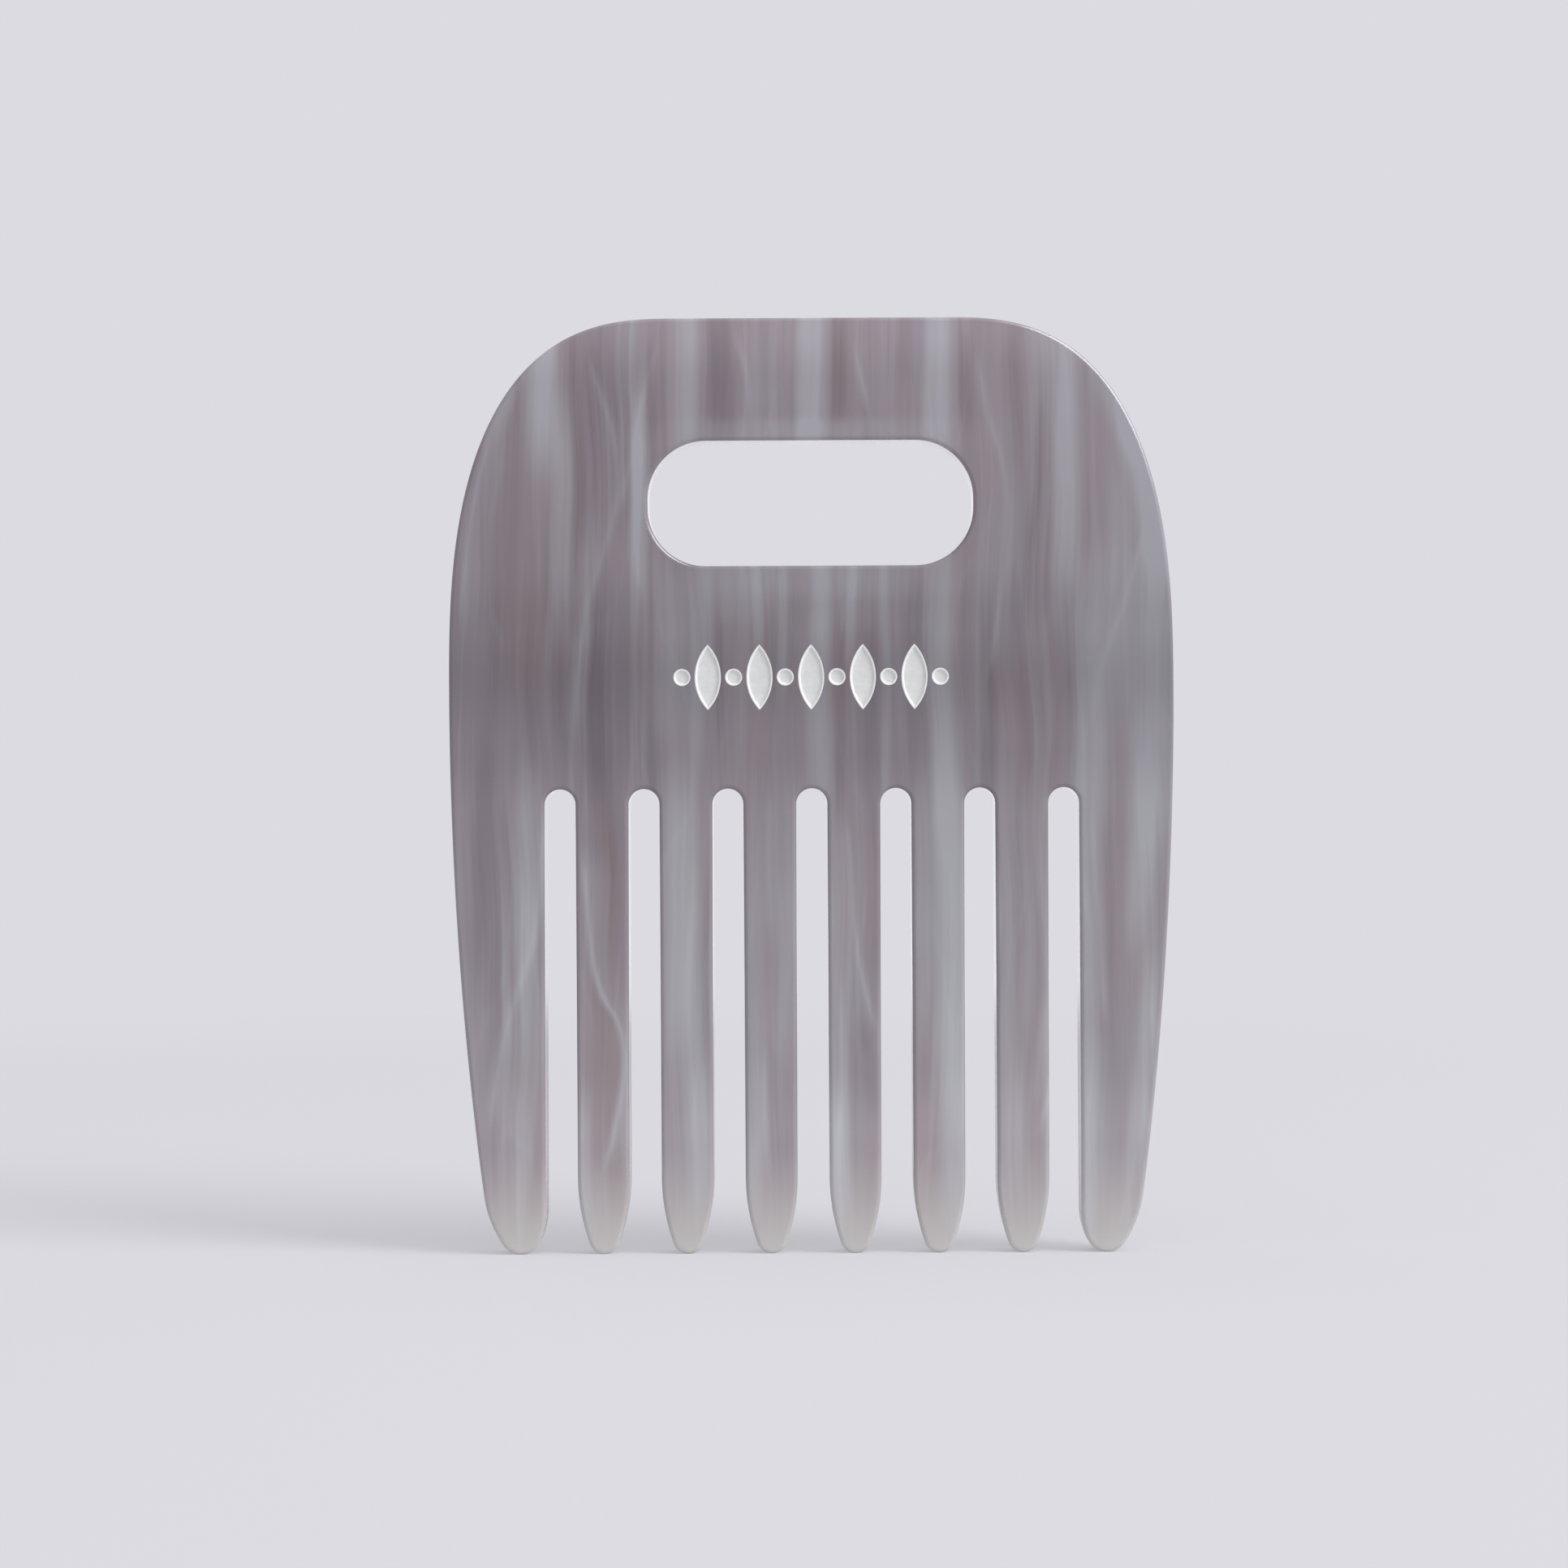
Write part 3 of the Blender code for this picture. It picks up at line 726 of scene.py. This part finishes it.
def mixedOut(tree, share, lit, seen, outputKind):  # lit is what lights the object, seen what is looked at
    mix, out = tree.nodes.new("ShaderNodeMixShader"), tree.nodes.new(outputKind)
    plug(tree, share, mix.inputs[0])
    plug(tree, lit.outputs[0], mix.inputs[1])
    plug(tree, seen.outputs[0], mix.inputs[2])
    plug(tree, mix.outputs[0], out.inputs[0])


def makeWorld():
    world = bpy.data.worlds.new("studio")
    world.use_nodes = True
    tree = world.node_tree
    tree.nodes.clear()
    outwards = tree.nodes.new("ShaderNodeTexCoord").outputs["Generated"]
    sideways, back, up = split(tree, outwards)

    lit = tree.nodes.new("ShaderNodeBackground")
    lit.inputs["Color"].default_value = (1, 1, 1, 1)
    above = sums(tree, "POWER", up, studio["aboveTight"])
    sky = sums(tree, "MULTIPLY_ADD", above, studio["skyAbove"], studio["skyPlain"])
    front = sums(tree, "POWER", sums(tree, "MULTIPLY", back, -1, clamp=True), studio["frontTight"])
    sky = sums(tree, "MULTIPLY_ADD", front, studio["skyFront"], sky)
    sides = sums(tree, "POWER", sums(tree, "ABSOLUTE", sideways), studio["sidesTight"])
    plug(tree, sums(tree, "MULTIPLY_ADD", sides, studio["skySides"], sky), lit.inputs["Strength"])

    seen = tree.nodes.new("ShaderNodeBackground")
    seen.inputs["Color"].default_value = (*studio["backdrop"], 1)
    aim = tree.nodes.new("ShaderNodeVectorMath")
    aim.operation = "DOT_PRODUCT"
    plug(tree, outwards, aim.inputs[0])
    aim.inputs[1].default_value = towards("card")
    aim = aim.outputs["Value"]
    card = ranged(tree, aim, studio["cardOuter"], studio["cardInner"], 0, studio["cardLight"])
    rear = ranged(tree, back, studio["rearOuter"], studio["rearInner"], 0, studio["rearCard"])
    mirrored = tree.nodes.new("ShaderNodeLightPath").outputs["Is Glossy Ray"]
    glow = sums(tree, "MULTIPLY_ADD", sums(tree, "ADD", card, rear), mirrored, 1.0)
    plug(tree, glow, seen.inputs["Strength"])
    mixedOut(tree, seenDirectly(tree), lit, seen, "ShaderNodeOutputWorld")
    scene.world = world


def makeFloor():
    bm = bmesh.new()
    bmesh.ops.create_grid(bm, x_segments=2, y_segments=2, size=studio["floorSize"])
    mesh = bpy.data.meshes.new("floor")
    bm.to_mesh(mesh)
    bm.free()
    floor = bpy.data.objects.new("floor", mesh)
    scene.collection.objects.link(floor)
    material = bpy.data.materials.new("paleFloor")
    material.use_nodes = True
    material.cycles.emission_sampling = "NONE"  # the far floor's own glow is only seen, and lights nothing
    tree = material.node_tree
    tree.nodes.clear()
    lit = tree.nodes.new("ShaderNodeBsdfDiffuse")
    lit.inputs["Color"].default_value = (*studio["floor"], 1)
    seen = tree.nodes.new("ShaderNodeEmission")
    seen.inputs["Color"].default_value = (*studio["backdrop"], 1)

    place = placeInMillimetres(tree)
    away = tree.nodes.new("ShaderNodeVectorMath")
    away.operation = "LENGTH"
    plug(tree, place, away.inputs[0])
    away = away.outputs["Value"]
    plain = ranged(tree, away, studio["plainFrom"], studio["plainTo"], studio["floorPlain"], 1)
    back = split(tree, place)[1]
    rear = ranged(tree, back, studio["rearFrom"], studio["rearTo"], 0, studio["rearCard"])
    mirrored = tree.nodes.new("ShaderNodeLightPath").outputs["Is Glossy Ray"]
    plug(tree, sums(tree, "MULTIPLY_ADD", rear, mirrored, 1.0), seen.inputs["Strength"])
    share = sums(tree, "MULTIPLY", plain, seenDirectly(tree))
    mixedOut(tree, share, lit, seen, "ShaderNodeOutputMaterial")
    mesh.materials.append(material)


makeCamera()
makeKeyLight()
makeWorld()
makeFloor()
scene.view_settings.view_transform = "Standard"
print("studio ready")

acetateMaterial = makeAcetate(makeStreakGroup(), makeVeinGroup())
enamelMaterial = makeEnamel()
print("materials ready")

sheet = makePlate(acetateMaterial)
print("acetate sheet ready:", len(sheet.data.polygons), "triangles")
for trace, kind, number, x in motifs():
    makeFill(trace, kind, number, x, enamelMaterial)
print("enamel ready")
